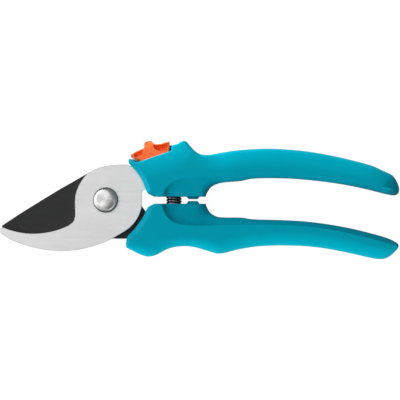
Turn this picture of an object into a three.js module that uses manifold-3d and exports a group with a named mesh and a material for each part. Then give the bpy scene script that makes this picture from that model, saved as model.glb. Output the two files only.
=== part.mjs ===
// Bypass pruning shears, closed and locked, lying on their back.
// Two bevelled steel blades turn on one bolt. Each blade's tang sits in a hollow moulded handle made of
// a front and a rear shell. A coil spring between the handles opens them, and an orange slider in the
// upper handle's head carries a catch that reaches the cutting blade's rim.
//
// Shapes are drawn in the pivot frame: origin on the pivot axis at the parting plane of the two blades,
// +X from the pivot to the handles' ends, +Y from the lower handle to the upper one, +Z out of the front.
// The last lines move everything so that the origin is at the bottom centre of the whole object.
import * as THREE from "three";
import { LoftGeometry } from "three/addons/geometries/LoftGeometry.js";
import { mergeVertices } from "three/addons/utils/BufferGeometryUtils.js";
import Module from "manifold-3d";

const wasm = await Module();
wasm.setup();

// ---- Driving dimensions, millimetres and degrees ----
const HALF_THICK = 9; // mid-plane to each broad face of a handle
const SPLIT_GAP = 0.15; // mid-plane to the face of each shell and each blade
const BLADE_THICK = 3;
const EDGE_LAND = 0.4; // flat left on the cutting blade's edge
const GRIND_WIDTH = 5; // width of the cutting blade's ground bevel
const WALL = 2.4; // shell wall beside the hollow grip
const FACE_WALL = 2.2; // shell wall at the broad faces
const CLEAR = 0.3; // gap between a piece and the pocket that holds it

const HEAD_R = 15.9; // cutting blade's head round the pivot
const ARC_R = 20.8; // handles' front edges, round the pivot
const LIP = 2; // bevel along those front edges

const BOLT_HEAD_R = 6.3;
const BOLT_SHANK_R = 4;
const BOLT_THREAD_R = 3;
const RUNNING_GAP = 0.1;

const SPRING_X = 34.2;
const SPRING_MEAN_R = 3.3;
const WIRE_R = 0.6;
const SPRING_TURNS = 11;
const SPRING_LOW = -8.1;
const SPRING_HIGH = 7.9;
const WELL_R = 4.6;
const PEG_R = 2.1;

const LUG_HALF_DEEP = 6; // the stop lugs that face each other behind the spring

const TRACK_ANGLE = 18.8; // slope of the lock's track
const TRACK_START = [16, 19.6];
const SLIDER_HALF_WIDE = 5;
const CHANNEL_END = 36.9;
const CATCH_Z = [-2.9, -0.45];
const NOTCH_ANGLE = 50; // place of the lock notch on the cutting blade's head
const NOTCH_WIDE = 3.8;
const NOTCH_DEEP = 1.8;

const SCREW_X = [56, 88, 124];
const SCREW_HEAD_R = 2.9;
const SCREW_SHANK_R = 1.5;
const BOSS_R = 3.9;
const SCREW_SEAT_Z = -6.1; // underside of the screw heads

// ---- Materials ----
const material = (color, roughness, metalness) => new THREE.MeshStandardMaterial({ color, roughness, metalness });
const MOULDED = material(0x038fa8, 0.5, 0);
const LOCK_PLASTIC = material(0xfb6a2c, 0.45, 0);
const STEEL = material(0xd2d3d3, 0.3, 0.9);
const COATED_STEEL = material(0x2c2c2d, 0.55, 0.4);
const SPRING_STEEL = material(0x55585a, 0.35, 0.9);

// ---- Joining and cutting ----
function solid(geometry) {
  const bare = new THREE.BufferGeometry().copy(geometry);
  bare.deleteAttribute("normal");
  bare.deleteAttribute("uv");
  const merged = mergeVertices(bare, 1e-4);
  const mesh = new wasm.Mesh({
    numProp: 3,
    vertProperties: merged.attributes.position.array,
    triVerts: new Uint32Array(merged.index.array),
  });
  return new wasm.Manifold(mesh);
}

function geometryOf(body) {
  const mesh = body.getMesh();
  const geometry = new THREE.BufferGeometry();
  geometry.setAttribute("position", new THREE.BufferAttribute(mesh.vertProperties, 3));
  geometry.setIndex(new THREE.BufferAttribute(mesh.triVerts, 1));
  const faceted = geometry.toNonIndexed();
  faceted.computeVertexNormals();
  return faceted;
}

const join = (first, ...rest) => rest.reduce((sum, piece) => sum.add(piece), first);
const cut = (first, ...rest) => rest.reduce((left, piece) => left.subtract(piece), first);

// ---- Shape helpers ----
const vectors = (points) => points.map(([x, y]) => new THREE.Vector2(x, y));

// A smooth run through a few points, with a given number of steps in each span.
function smooth(points, steps = 3) {
  return new THREE.SplineCurve(vectors(points)).getPoints((points.length - 1) * steps).map((p) => [p.x, p.y]);
}

// Points on a circle round the pivot, from one angle to another.
function ring(radius, from, to, count) {
  return Array.from({ length: count + 1 }, (_, i) => {
    const a = THREE.MathUtils.degToRad(from + ((to - from) * i) / count);
    return [radius * Math.cos(a), radius * Math.sin(a)];
  });
}

// A flat plate with the given outline between two heights.
function plate(points, low, high) {
  const shape = new THREE.Shape(vectors(points));
  const geometry = new THREE.ExtrudeGeometry(shape, { depth: high - low, bevelEnabled: false });
  return solid(geometry.translate(0, 0, low));
}

function cylinder(radius, low, high, x = 0, y = 0, sides = 24) {
  const geometry = new THREE.CylinderGeometry(radius, radius, high - low, sides);
  return solid(geometry.rotateX(Math.PI / 2).translate(x, y, (low + high) / 2));
}

// A turned body about the Z axis from [radius, height] points.
function turned(profile, sides) {
  return solid(new THREE.LatheGeometry(vectors(profile), sides).rotateX(Math.PI / 2));
}

// Height as a function of x through the given points, without overshoot at the steps.
function heightCurve(points) {
  const slope = points.slice(1).map(([x, y], i) => (y - points[i][1]) / (x - points[i][0]));
  const tangent = points.map((_, i) => {
    if (i === 0) return slope[0];
    if (i === points.length - 1) return slope[i - 1];
    if (slope[i - 1] * slope[i] <= 0) return 0;
    return (2 * slope[i - 1] * slope[i]) / (slope[i - 1] + slope[i]);
  });
  return (x) => {
    const last = points.length - 2;
    const i = Math.min(last, Math.max(0, points.findIndex(([px], k) => k > 0 && x <= px) - 1));
    const span = points[i + 1][0] - points[i][0];
    const t = THREE.MathUtils.clamp((x - points[i][0]) / span, 0, 1);
    const a = points[i][1] + tangent[i] * span * t;
    const b = points[i + 1][1] - tangent[i + 1] * span * (1 - t);
    return THREE.MathUtils.lerp(a, b, t * t * (3 - 2 * t));
  };
}

// One cross-section of a handle, anticlockwise seen from +X. A corner with one step is a flat bevel.
function section(x, low, high, half, roundY, roundZ, lowSteps, highSteps) {
  const ry = Math.min(roundY, 0.46 * (high - low));
  const rz = Math.min(roundZ, 0.9 * half);
  const corners = [
    [high - ry, half - rz, 0, highSteps],
    [low + ry, half - rz, 90, lowSteps],
    [low + ry, rz - half, 180, lowSteps],
    [high - ry, rz - half, 270, highSteps],
  ];
  return corners.flatMap(([y, z, start, steps]) =>
    Array.from({ length: steps + 1 }, (_, i) => {
      const a = THREE.MathUtils.degToRad(start + (90 * i) / steps);
      return new THREE.Vector3(x, y + ry * Math.cos(a), z + rz * Math.sin(a));
    }),
  );
}

const loft = (sections) => solid(new LoftGeometry(sections, { capStart: true, capEnd: true }));

// ---- Handle outlines: lower and upper edge as heights over x ----
// The edge that faces the other handle has a flat bevel, and the outer edge is rounded.
const UPPER = {
  lowSteps: 1,
  highSteps: 4,
  low: heightCurve([
    [11.5, 4.8], [19.8, 4.7], [21.2, 3.1], [23, 2], [25, 1.6], [50.1, 1.65], [50.9, 3.6], [52.9, 6.6],
    [56.4, 8.3], [60.3, 8.9], [68.3, 9.5], [72.1, 10.4], [80, 10.9], [92, 10.7], [104, 9.7], [116, 8.2],
    [127.7, 6], [139.4, 3.1], [143.4, 2.3], [146.8, 4.6],
  ]),
  high: heightCurve([
    [11.5, 20.7], [15.7, 19.2], [16.9, 19.7], [31.4, 24.7], [32, 25.1], [32.5, 27.3], [34.8, 28],
    [36.6, 28.9], [38.8, 29.6], [40.2, 29.1], [41.6, 27.4], [44, 24.7], [47.5, 22.8], [51.5, 22.6],
    [59.4, 23.9], [67.3, 25.1], [79.2, 25.7], [91.2, 25.2], [103.1, 24], [114.9, 21.8], [126.5, 19],
    [134.2, 16.8], [141.5, 13.5], [144.6, 11.2], [146.8, 7.2],
  ]),
  stations: [
    11.5, 13.5, 15.7, 17.5, 19.8, 21.2, 23, 25, 31.6, 32.1, 32.6, 34.8, 36.6, 38.8, 40.2, 41.6, 44, 47.5, 50.1,
    50.9, 52, 53.4, 56.4, 60.3, 65, 70, 75, 80, 86, 92, 98, 104, 110, 116, 122, 128, 134, 138, 141, 143.4,
    145.4, 146.8,
  ],
};
const LOWER = {
  lowSteps: 4,
  highSteps: 1,
  low: heightCurve([
    [10.3, -23.4], [14, -25.5], [17.5, -27.4], [21.2, -28.3], [25.2, -27.5], [28.8, -25.6], [32.4, -24],
    [36.3, -23.3], [40.3, -23.1], [44.3, -23.6], [52, -25.7], [56.2, -26.8], [59.7, -26.4], [67.5, -24.5],
    [75.4, -23.3], [87.4, -22.7], [99.4, -23.1], [111.3, -24.5], [123, -26.8], [134.2, -29.3],
    [137.6, -29.6], [142, -28.2], [145.2, -25.4], [146.4, -23.9],
  ]),
  high: heightCurve([
    [10.3, -19.6], [11, -17.4], [12.5, -12], [19.9, -4.9], [21.2, -3.4], [23.2, -2.2], [25, -1.85],
    [50, -1.9], [50.9, -4.1], [52.3, -6.4], [54.5, -7.9], [57, -8.7], [62, -8.8], [67.7, -8.9], [71.6, -9.4],
    [79.6, -9.8], [91.6, -10.2], [103.5, -11.1], [115.4, -12.8], [127.1, -15.3], [138.7, -18.3],
    [143.2, -19.9], [145.6, -21.4], [146.4, -22.6],
  ]),
  stations: [
    10.3, 11, 12.5, 15, 17.5, 19.9, 21.2, 23.2, 25, 28.8, 32.4, 36.3, 40.3, 44.3, 48, 50, 50.9, 52.3, 54.5,
    57, 59.7, 64, 67.7, 71.6, 76, 82, 88, 94, 100, 106, 112, 118, 124, 130, 134.2, 137.6, 140, 142, 143.9,
    145.4, 146.4,
  ],
};
const TAIL_START = 136; // where the handles' ends start to thin
const TAIL_END = 147.6;
const HEAD_END = 50; // the head is crisper than the grip

function handleBody({ low, high, stations, lowSteps, highSteps }) {
  const sections = stations.map((x) => {
    const grip = THREE.MathUtils.smoothstep(x, HEAD_END, HEAD_END + 12);
    const tail = THREE.MathUtils.clamp((x - TAIL_START) / (TAIL_END - TAIL_START), 0, 1);
    const half = HALF_THICK * Math.sqrt(1 - 0.8 * tail * tail);
    return section(x, low(x), high(x), half, 1.4 + 2.2 * grip, 1.6 + 2.2 * grip, lowSteps, highSteps);
  });
  return loft(sections);
}

// The hollow inside a grip.
function gripHollow({ low, high }, from, to) {
  const sections = [];
  for (let x = from; x <= to; x += 8) {
    sections.push(section(x, low(x) + WALL, high(x) - WALL, HALF_THICK - FACE_WALL, 2.4, 2.6, 2, 2));
  }
  return loft(sections);
}

// The round space between the two handles' fronts, with a bevel at both broad faces.
const frontSpace = turned(
  [
    [0, -HALF_THICK - 1], [ARC_R + LIP + 0.8, -HALF_THICK - 1], [ARC_R + LIP, -HALF_THICK],
    [ARC_R, LIP - HALF_THICK], [ARC_R, HALF_THICK - LIP], [ARC_R + LIP, HALF_THICK],
    [ARC_R + LIP + 0.8, HALF_THICK + 1], [0, HALF_THICK + 1],
  ],
  72,
);

// ---- Blades ----
const pivotHole = cylinder(BOLT_SHANK_R + RUNNING_GAP, -5, 5, 0, 0, 48);
const tangHole = (x, y) => cylinder(SCREW_SHANK_R + CLEAR, -5, 5, x, y, 20);

// Tangs: lower edge from the blade backwards, then the upper edge forwards.
const TANG_END = 61;
const UPPER_TANG = [
  [[18.2, 4.6], [20, 5.5], [29, 9.8], [TANG_END, 12.2]],
  [[TANG_END, 18.8], [24, 17], [14.5, 16.4], [11.2, 17.6]],
];
const LOWER_TANG = [
  [[10.4, -19.4], [26, -19.6], [TANG_END, -20.8]],
  [[TANG_END, -14.2], [29, -11.6], [23, -8.4], [19.6, -5.2]],
];
// The pocket is the same outline grown by the clearance and carried forward out of the handle.
function tangPocket([low, high], front, z0, z1) {
  const back = ([x]) => (x === TANG_END ? CLEAR : 0);
  const outline = [
    [front, low[0][1] - CLEAR],
    ...low.map(([x, y]) => [x + back([x]), y - CLEAR]),
    ...high.map(([x, y]) => [x + back([x]), y + CLEAR]),
    [front, high[high.length - 1][1] + CLEAR],
  ];
  return plate(outline, z0, z1);
}
const upperScrewY = (x) => (x < TANG_END ? 15.4 : (UPPER.low(x) + UPPER.high(x)) / 2);
const lowerScrewY = (x) => (x < TANG_END ? -17.2 : (LOWER.low(x) + LOWER.high(x)) / 2);

const hookOutline = [
  [-52.9, -14.4],
  ...smooth([[-52.2, -16.9], [-44.8, -21], [-37.2, -23.5], [-29.4, -25], [-21.5, -25.5], [-13.5, -24.8]], 2),
  ...smooth([[-9.7, -24], [-5.8, -22.9], [1.6, -20.1], [8.8, -16.1]], 2),
  ...ring(18.3, -56, -12, 7),
  [18.1, 3.4],
  ...UPPER_TANG[0],
  ...UPPER_TANG[1],
  ...smooth([[9.4, 17.8], [5.4, 17.6], [1.4, 17.2], [-2.5, 16.4], [-6.1, 14.9], [-9.7, 13.3]], 2),
  ...smooth([[-10.4, 12.4], [-12.4, 9.4], [-14.2, 5.9], [-15.3, 2], [-15.5, -1]], 2),
  ...smooth([[-15.5, -7.6], [-16, -10.2], [-18.2, -12.4], [-22.3, -14.1], [-28.1, -15.8], [-36, -16.6]], 3),
  ...smooth([[-42, -16.2], [-47.8, -14.9], [-51.6, -13.5]], 2),
];
const hookBlade = cut(
  plate(hookOutline, SPLIT_GAP, SPLIT_GAP + BLADE_THICK),
  pivotHole,
  tangHole(SCREW_X[0], upperScrewY(SCREW_X[0])),
);

// The cutting blade: a nearly straight spine that runs into the head as a tangent, and a bellied edge.
const cuttingEdge = smooth([[-51.9, -13.4], [-46.5, -16.8], [-38, -19.4], [-29, -20.4], [-20, -19.8], [-13, -17.8]], 3);
const bladeBack = [
  ...smooth([[-8, -17.6], [-2, -18.6], [4, -19.3]], 2),
  ...LOWER_TANG[0],
  ...LOWER_TANG[1],
  [17.6, -2.4],
  ...ring(HEAD_R, 0, 117, 16),
  ...smooth([[-9.2, 13.3], [-15.1, 9.9], [-24, 4.8], [-34, -1.3], [-43, -6.9]], 2),
];
function bladeSection(inset, z) {
  const edge = cuttingEdge.map(([x, y], i) => {
    const share = i / (cuttingEdge.length - 1);
    const width = inset * Math.min(1, 4 * share) * Math.min(1, 5 * (1 - share));
    return [x + 0.35 * width, y + 0.9 * width];
  });
  return [[-51.9, -12.8], ...edge, ...bladeBack].map(([x, y]) => new THREE.Vector3(x, y, z));
}
const cuttingTop = -SPLIT_GAP;
const cuttingPlate = loft([
  bladeSection(GRIND_WIDTH, cuttingTop - BLADE_THICK),
  bladeSection(0, cuttingTop - EDGE_LAND),
  bladeSection(0, cuttingTop),
]);
const notchGeometry = new THREE.BoxGeometry(2 * NOTCH_DEEP, NOTCH_WIDE, 8).translate(HEAD_R, 0, 0);
const notch = solid(notchGeometry.rotateZ(THREE.MathUtils.degToRad(NOTCH_ANGLE)));
const cuttingBlade = cut(cuttingPlate, pivotHole, notch, tangHole(SCREW_X[0], lowerScrewY(SCREW_X[0])));

// ---- Pivot: domed bolt, washer and nut ----
const BLADE_FACE = SPLIT_GAP + BLADE_THICK;
const HEAD_UNDER = BLADE_FACE + CLEAR;
const RIM = 0.9;
const DOME = 1.7;
const dome = Array.from({ length: 7 }, (_, i) => {
  const a = ((Math.PI / 2) * i) / 6;
  return [BOLT_HEAD_R * Math.cos(a), HEAD_UNDER + RIM + DOME * Math.sin(a)];
});
dome[6][0] = 0;
const WASHER = [-BLADE_FACE - 1.05, -BLADE_FACE - 0.25];
const LOCK_WASHER = [WASHER[0] - 0.85, WASHER[0] - 0.25];
const NUT_HIGH = LOCK_WASHER[0] - 0.25;
const NUT_LOW = NUT_HIGH - 2.6;
const pivotBolt = turned(
  [
    [0, NUT_LOW - 0.6], [BOLT_THREAD_R - 0.5, NUT_LOW - 0.6], [BOLT_THREAD_R, NUT_LOW - 0.1],
    [BOLT_THREAD_R, -BLADE_FACE - 0.1], [BOLT_SHANK_R, -BLADE_FACE - 0.1], [BOLT_SHANK_R, HEAD_UNDER],
    [BOLT_HEAD_R, HEAD_UNDER], ...dome,
  ],
  48,
);
const threadClear = cylinder(BOLT_THREAD_R + RUNNING_GAP, -20, 0, 0, 0, 32);
const pivotWasher = cut(cylinder(7.4, ...WASHER, 0, 0, 40), threadClear);
const lockWasher = cut(cylinder(5.4, ...LOCK_WASHER, 0, 0, 36), threadClear);
const pivotNut = cut(cylinder(5.8, NUT_LOW, NUT_HIGH, 0, 0, 6), threadClear);

// ---- Return spring ----
class Helix extends THREE.Curve {
  getPoint(t, target = new THREE.Vector3()) {
    const a = 2 * Math.PI * SPRING_TURNS * t;
    const rise = SPRING_LOW + WIRE_R + (SPRING_HIGH - SPRING_LOW - 2 * WIRE_R) * t;
    return target.set(SPRING_X + SPRING_MEAN_R * Math.cos(a), rise, SPRING_MEAN_R * Math.sin(a));
  }
}
const wire = new THREE.Shape().absarc(0, 0, WIRE_R, 0, 2 * Math.PI);
const springGeometry = new THREE.ExtrudeGeometry(wire, {
  steps: 12 * SPRING_TURNS,
  curveSegments: 3,
  extrudePath: new Helix(),
});

// The ring-shaped well that a spring end stands in, with a peg left in the coil.
function springWell(from, to) {
  const profile = [[PEG_R, from], [WELL_R, from], [WELL_R, to], [PEG_R, to], [PEG_R, from]];
  return solid(new THREE.LatheGeometry(vectors(profile), 28).translate(SPRING_X, 0, 0));
}

// ---- Lock: slider, catch and the channel that they move in ----
const slope = THREE.MathUtils.degToRad(TRACK_ANGLE);
const onTrack = (u, v) => [
  TRACK_START[0] + u * Math.cos(slope) - v * Math.sin(slope),
  TRACK_START[1] + u * Math.sin(slope) + v * Math.cos(slope),
];
const KEEL = 2; // depth of the slider's keel below the rails
const trackBox = (u0, u1, v0, v1) => [onTrack(u0, v0), onTrack(u1, v0), onTrack(u1, v1), onTrack(u0, v1)];
const channelOpen = plate(
  [
    [9, 18.9], [17.4, 18.9], [17.4, onTrack(0.7, -KEEL - CLEAR)[1]], onTrack(22.8, -KEEL - CLEAR),
    [CHANNEL_END, 27], [CHANNEL_END, 40], [9, 40],
  ],
  -SLIDER_HALF_WIDE - CLEAR,
  SLIDER_HALF_WIDE + CLEAR,
);
// Ribs on the keel run in grooves in the channel's side walls and hold the slider down.
const RIB_OUT = SLIDER_HALF_WIDE + 1;
const keelRibs = plate(trackBox(3, 14.4, -KEEL, -0.9), -RIB_OUT, RIB_OUT);
const grooves = plate(trackBox(2.6, 20.2, -KEEL - CLEAR, -0.6), -RIB_OUT - CLEAR, RIB_OUT + CLEAR);
const channel = join(channelOpen, grooves);

// A bowed leaf under the keel that holds the slider in its two places.
const LEAF_Z = [-4.8, -3.8];
const leafPoints = [[8.9, -3.7], [10.6, -3.1], [12.5, -2.8], [14.4, -3.1], [16.1, -3.7]];
const leafOutline = [
  ...leafPoints.map(([u, v]) => onTrack(u, v)),
  ...leafPoints.map(([u, v]) => onTrack(u, v + 0.35)).reverse(),
];
const leafSeat = plate(trackBox(8.6, 16.4, -4, -KEEL), LEAF_Z[0] - 0.25, LEAF_Z[1] + 0.25);
const sliderOutline = [
  [13.4, 19.3], [18, 19.3], onTrack(2.6, -KEEL), onTrack(14.9, -KEEL), [31.2, 24.4],
  ...smooth([[31.7, 26.2], [31.75, 27.5], [30.6, 28.8], [28.2, 28.6], [26, 27.9], [24.6, 28.1], [23.2, 29.1]], 2),
  ...smooth([[21.6, 29.6], [20.1, 29.4], [19.3, 28.2], [19, 26.5], [18, 25.4], [16, 24.7], [14, 23.9]], 2),
  ...smooth([[12.9, 23], [12.7, 21.6], [13, 20]], 2),
];
const catchTongue = trackBox(3, 7.5, -3, 2.4);
const tongueSlot = trackBox(2.7, 7.8, -4, 2.7);
const scoop = (x, y, rx, ry, depth, side) => {
  const ball = new THREE.SphereGeometry(1, 14, 10).scale(rx, ry, depth).rotateZ(slope);
  return solid(ball.translate(x, y, side * (SLIDER_HALF_WIDE + 0.5)));
};
const scoops = [-1, 1].flatMap((side) => [
  scoop(16.1, 22.7, 2.5, 1.2, 2.4, side),
  scoop(27.6, 27.1, 3.6, 1.6, 3, side),
]);
const lockSlider = cut(
  join(plate(sliderOutline, -SLIDER_HALF_WIDE, SLIDER_HALF_WIDE), keelRibs),
  plate(tongueSlot, CATCH_Z[0] - CLEAR, CATCH_Z[1] + CLEAR),
  ...scoops,
);
const catchLeg = [
  onTrack(3, -2.9), [14.6, 16.5], [9.6, 13.1], [11.3, 11.7], [16.6, 13.8], [24.2, 17.2], onTrack(7.5, -2.9),
];
const lockCatch = join(plate(catchTongue, ...CATCH_Z), plate(catchLeg, ...CATCH_Z));
const catchRoom = plate(
  [[8, 10.6], [17, 13.2], [30.5, 18.2], [30.5, 24.4], [18.6, 24.4], [18.6, 18.6], [14, 17.2], [8, 14.4]],
  CATCH_Z[0] - CLEAR,
  1,
);

// ---- Handles, each as a front and a rear shell ----
const upperLug = plate([[40.4, 3], [40.4, 1.6], [41.6, 0.4], [46, 0.4], [47, 1.6], [47, 3]], -LUG_HALF_DEEP, LUG_HALF_DEEP);
const lowerLug = plate([[40.4, -3], [47, -3], [47, -1.9], [46, -0.5], [41.4, -0.5], [40.4, -1.9]], -LUG_HALF_DEEP, LUG_HALF_DEEP);
const frontHalf = solid(new THREE.BoxGeometry(400, 200, 40).translate(0, 0, 20 + SPLIT_GAP));
const rearHalf = solid(new THREE.BoxGeometry(400, 200, 40).translate(0, 0, -20 - SPLIT_GAP));

// The shallow step that the spring stands in, on both broad faces.
const STEP_DEEP = 2.2;
const stepOutline = [
  [28.2, -0.5], ...smooth([[28.6, -2], [30.2, -6.9], [32.2, -9.3], [35, -11.4], [38.5, -12.4]], 2), [51.8, -12.4],
  [54.5, -9.4], [54.5, -0.5],
];
const stepFace = (side, flip) => {
  const low = side > 0 ? HALF_THICK - STEP_DEEP : -HALF_THICK - 1;
  const points = flip ? stepOutline.map(([x, y]) => [x, -0.84 * y]).reverse() : stepOutline;
  return plate(points, low, low + 1 + STEP_DEEP);
};

function shells(handle, lug, screwY, extraCuts) {
  const body = cut(join(handleBody(handle), lug), frontSpace, gripHollow(handle, 68, 132), ...extraCuts);
  const places = SCREW_X.map((x) => [x, screwY(x)]);
  const tall = HALF_THICK - FACE_WALL + 0.2;
  const bosses = places.slice(1).map(([x, y]) => cylinder(BOSS_R, -tall, tall, x, y));
  const full = join(body, ...bosses);
  const seats = places.map(([x, y]) => cylinder(SCREW_HEAD_R + CLEAR, -HALF_THICK - 1, SCREW_SEAT_Z + 0.1, x, y));
  const holes = places.map(([x, y]) => cylinder(SCREW_SHANK_R + CLEAR, -HALF_THICK, 1, x, y));
  const pilots = places.map(([x, y]) => cylinder(SCREW_SHANK_R + 0.1, -1, 5.8, x, y));
  return {
    front: cut(full.intersect(frontHalf), ...pilots),
    rear: cut(full.intersect(rearHalf), ...seats, ...holes),
  };
}

const upper = shells(UPPER, upperLug, upperScrewY, [
  springWell(-3, SPRING_HIGH + CLEAR),
  channel,
  stepFace(1, true),
  stepFace(-1, true),
]);
const upperPocket = tangPocket(UPPER_TANG, 8, 0, BLADE_FACE + CLEAR);
const lower = shells(LOWER, lowerLug, lowerScrewY, [
  springWell(SPRING_LOW - CLEAR, 3),
  stepFace(1, false),
  stepFace(-1, false),
]);
const lowerPocket = tangPocket(LOWER_TANG, 8, -BLADE_FACE - CLEAR, 0);

// A socket screw, driven in from the rear.
function screw(x, y) {
  const body = turned(
    [
      [0, SCREW_SEAT_Z - 2], [SCREW_HEAD_R - 0.3, SCREW_SEAT_Z - 2], [SCREW_HEAD_R, SCREW_SEAT_Z - 1.7],
      [SCREW_HEAD_R, SCREW_SEAT_Z], [SCREW_SHANK_R, SCREW_SEAT_Z], [SCREW_SHANK_R, 4.6], [0.6, 5.5], [0, 5.5],
    ],
    20,
  );
  return cut(body, cylinder(1.4, SCREW_SEAT_Z - 3, SCREW_SEAT_Z - 0.9, 0, 0, 6)).translate([x, y, 0]);
}

// ---- The scene graph ----
const shears = new THREE.Group();
shears.name = "pruning_shears";
const upperLever = new THREE.Group();
const lowerLever = new THREE.Group();
const lock = new THREE.Group();
shears.add(upperLever, lowerLever, lock);

function add(parent, name, shape, finish) {
  const geometry = shape.isBufferGeometry ? shape : geometryOf(shape);
  const mesh = new THREE.Mesh(geometry, finish);
  mesh.name = name;
  parent.add(mesh);
}

add(upperLever, "hook_blade", hookBlade, STEEL);
add(upperLever, "upper_handle_front", cut(upper.front, upperPocket), MOULDED);
add(upperLever, "upper_handle_rear", cut(upper.rear, catchRoom, leafSeat), MOULDED);
add(upperLever, "lock_detent_leaf", plate(leafOutline, ...LEAF_Z), SPRING_STEEL);
add(upperLever, "pivot_bolt", pivotBolt, STEEL);
add(upperLever, "pivot_washer", pivotWasher, STEEL);
add(upperLever, "pivot_lock_washer", lockWasher, STEEL);
add(upperLever, "pivot_nut", pivotNut, STEEL);
add(upperLever, "return_spring", springGeometry, SPRING_STEEL);
add(lowerLever, "cutting_blade", cuttingBlade, COATED_STEEL);
add(lowerLever, "lower_handle_front", lower.front, MOULDED);
add(lowerLever, "lower_handle_rear", cut(lower.rear, lowerPocket), MOULDED);
add(lock, "lock_slider", lockSlider, LOCK_PLASTIC);
add(lock, "lock_catch", lockCatch, STEEL);
SCREW_X.forEach((x, i) => {
  add(upperLever, `upper_screw_${i + 1}`, screw(x, upperScrewY(x)), STEEL);
  add(lowerLever, `lower_screw_${i + 1}`, screw(x, lowerScrewY(x)), STEEL);
});

// Rest the handles' rear faces on z = 0 and centre the outline on the origin.
const extent = new THREE.Box3().setFromObject(shears);
const middle = extent.getCenter(new THREE.Vector3());
shears.position.set(-middle.x, -middle.y, -extent.min.z);

export default shears;
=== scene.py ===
"""Bypass pruning shears: the detailed visual model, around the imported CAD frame.

Shapes are drawn in millimetres in the pivot frame: origin on the pivot axis at the plane where the two
blades meet, +X towards the handles' ends, +Y towards the upper handle, +Z out of the front.
"""

import math

import bmesh
import bpy
import numpy as np
from mathutils import Matrix, Vector
from mathutils.geometry import delaunay_2d_cdt


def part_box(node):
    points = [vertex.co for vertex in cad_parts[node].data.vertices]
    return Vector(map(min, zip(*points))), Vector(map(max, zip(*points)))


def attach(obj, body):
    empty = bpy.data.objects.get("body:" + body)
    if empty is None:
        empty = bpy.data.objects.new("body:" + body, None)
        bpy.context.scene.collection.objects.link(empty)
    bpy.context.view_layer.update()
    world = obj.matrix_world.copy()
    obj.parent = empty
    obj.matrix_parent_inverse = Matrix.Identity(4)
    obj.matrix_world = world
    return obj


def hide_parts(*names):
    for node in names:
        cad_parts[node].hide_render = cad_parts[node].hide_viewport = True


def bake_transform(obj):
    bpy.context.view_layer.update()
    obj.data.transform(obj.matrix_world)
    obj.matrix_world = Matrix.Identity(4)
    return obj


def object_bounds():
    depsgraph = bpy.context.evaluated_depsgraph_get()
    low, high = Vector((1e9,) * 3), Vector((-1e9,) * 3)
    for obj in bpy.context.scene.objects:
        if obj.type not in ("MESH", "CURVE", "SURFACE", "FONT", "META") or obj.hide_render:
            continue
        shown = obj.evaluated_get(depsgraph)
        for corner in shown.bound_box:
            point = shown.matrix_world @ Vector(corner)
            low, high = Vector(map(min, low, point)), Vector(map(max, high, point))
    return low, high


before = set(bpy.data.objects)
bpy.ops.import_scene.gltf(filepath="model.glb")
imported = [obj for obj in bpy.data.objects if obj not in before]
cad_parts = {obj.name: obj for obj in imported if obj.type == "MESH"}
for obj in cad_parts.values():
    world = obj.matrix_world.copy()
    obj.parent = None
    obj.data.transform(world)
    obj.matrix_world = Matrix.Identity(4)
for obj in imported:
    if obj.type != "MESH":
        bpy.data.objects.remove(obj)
cad_low, cad_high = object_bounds()

MM = 0.001
BLADE_GAP = 0.15          # mid-plane to a blade's inner face
BLADE_THICK = 3.0
BLADE_OUTER = BLADE_GAP + BLADE_THICK
HALF_THICK = 9.0          # mid-plane to a handle's broad face

bolt_low, bolt_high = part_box("pivot_bolt")
hook_low, hook_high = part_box("hook_blade")
PIVOT = Vector((
    (bolt_low.x + bolt_high.x) / 2,
    (bolt_low.y + bolt_high.y) / 2,
    hook_low.z - BLADE_GAP * MM,
))


# ---------------------------------------------------------------- curves
def spline(points, step=0.5):
    """Points along a smooth curve through the given points, about `step` apart. Extra columns go along."""
    p = np.array(points, float)
    p = np.vstack([2 * p[0] - p[1], p, 2 * p[-1] - p[-2]])
    out = []
    for a, b, c, d in zip(p[:-3], p[1:-2], p[2:-1], p[3:]):
        chord = np.linalg.norm((c - b)[:2])
        ta = np.linalg.norm((b - a)[:2]) ** 0.5
        tb = chord ** 0.5
        tc = np.linalg.norm((d - c)[:2]) ** 0.5
        m1 = (c - b) + tb * ((b - a) / ta - (c - a) / (ta + tb))
        m2 = (c - b) + tb * ((d - c) / tc - (d - b) / (tb + tc))
        count = max(2, int(math.ceil(chord / step)))
        for t in np.linspace(0, 1, count, endpoint=False):
            out.append(
                (2 * t**3 - 3 * t**2 + 1) * b + (t**3 - 2 * t**2 + t) * m1
                + (3 * t**2 - 2 * t**3) * c + (t**3 - t**2) * m2
            )
    out.append(p[-2])
    return np.array(out)


def arc(radius, start, end, step=0.5):
    count = max(3, int(abs(math.radians(end - start)) * radius / step))
    a = np.radians(np.linspace(start, end, count + 1))
    return np.column_stack([radius * np.cos(a), radius * np.sin(a)])


def circle(radius, count=72, x=0.0, y=0.0):
    a = np.linspace(0, 2 * math.pi, count, endpoint=False)
    return np.column_stack([x + radius * np.cos(a), y + radius * np.sin(a)])


def loop(*runs):
    """Runs of points joined into one closed loop, without doubled points."""
    points = np.vstack([np.asarray(run, float)[:, :2] for run in runs])
    keep = np.linalg.norm(points - np.roll(points, 1, axis=0), axis=1) > 0.02
    return points[keep]


def inset(points, distance):
    """A loop moved to its left by `distance` (inwards when it runs anticlockwise)."""
    before = points - np.roll(points, 1, axis=0)
    after = np.roll(points, -1, axis=0) - points
    n1 = np.column_stack([-before[:, 1], before[:, 0]]) / np.linalg.norm(before, axis=1)[:, None]
    n2 = np.column_stack([-after[:, 1], after[:, 0]]) / np.linalg.norm(after, axis=1)[:, None]
    mid = n1 + n2
    length = np.linalg.norm(mid, axis=1)
    scale = np.clip(2 / np.maximum(length, 1e-6) ** 2, 0, 2.0)
    return points + mid * (distance * scale)[:, None]


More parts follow.
